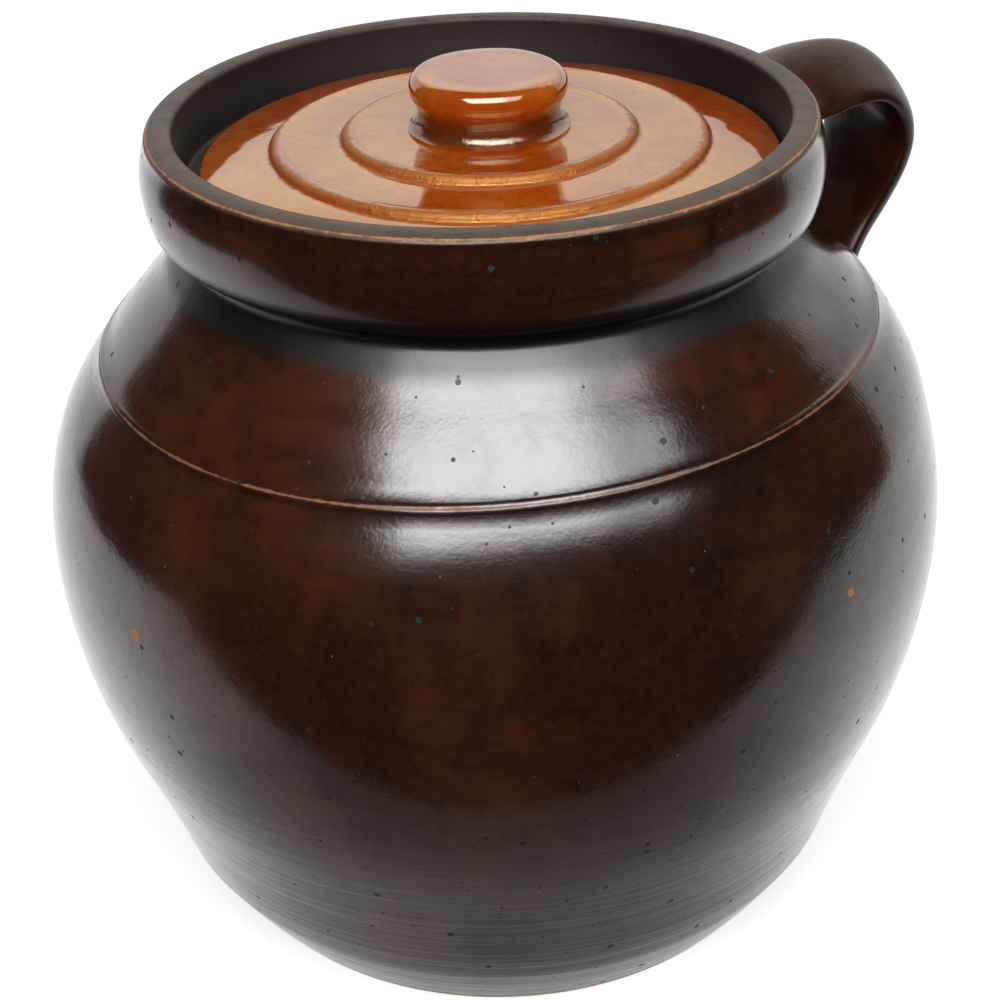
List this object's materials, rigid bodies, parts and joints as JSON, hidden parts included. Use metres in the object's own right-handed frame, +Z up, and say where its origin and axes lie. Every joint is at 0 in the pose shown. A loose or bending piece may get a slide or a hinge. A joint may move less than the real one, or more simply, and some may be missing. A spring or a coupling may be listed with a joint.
{
  "type": "bean pot",
  "caption": "Round-bellied stoneware bean pot with a collared mouth, a pulled strap handle and a loose inset lid with a flat-topped knob.",
  "frame": {"origin": "centre of the foot on the pot's own axis, on the surface that the pot stands on", "axes": "+Z up along the pot's axis; +X towards the middle of the strap handle; +Y completes a right-handed frame"},
  "size_m": [0.233, 0.2184, 0.2099],
  "materials": {
    "brown_glaze": "glossy dark brown slip glaze",
    "amber_glaze": "glossy amber glaze"
  },
  "bodies": {
    "pot": {"pot_body": "brown_glaze", "handle": "brown_glaze"},
    "lid": {"lid": "amber_glaze", "lid_knob": "amber_glaze"}
  },
  "joints": [
    {"name": "lid_lift", "type": "slide", "parent": "pot", "child": "lid", "axis": [0, 0, 1], "range_m": [0, 0.1]}
  ]
}
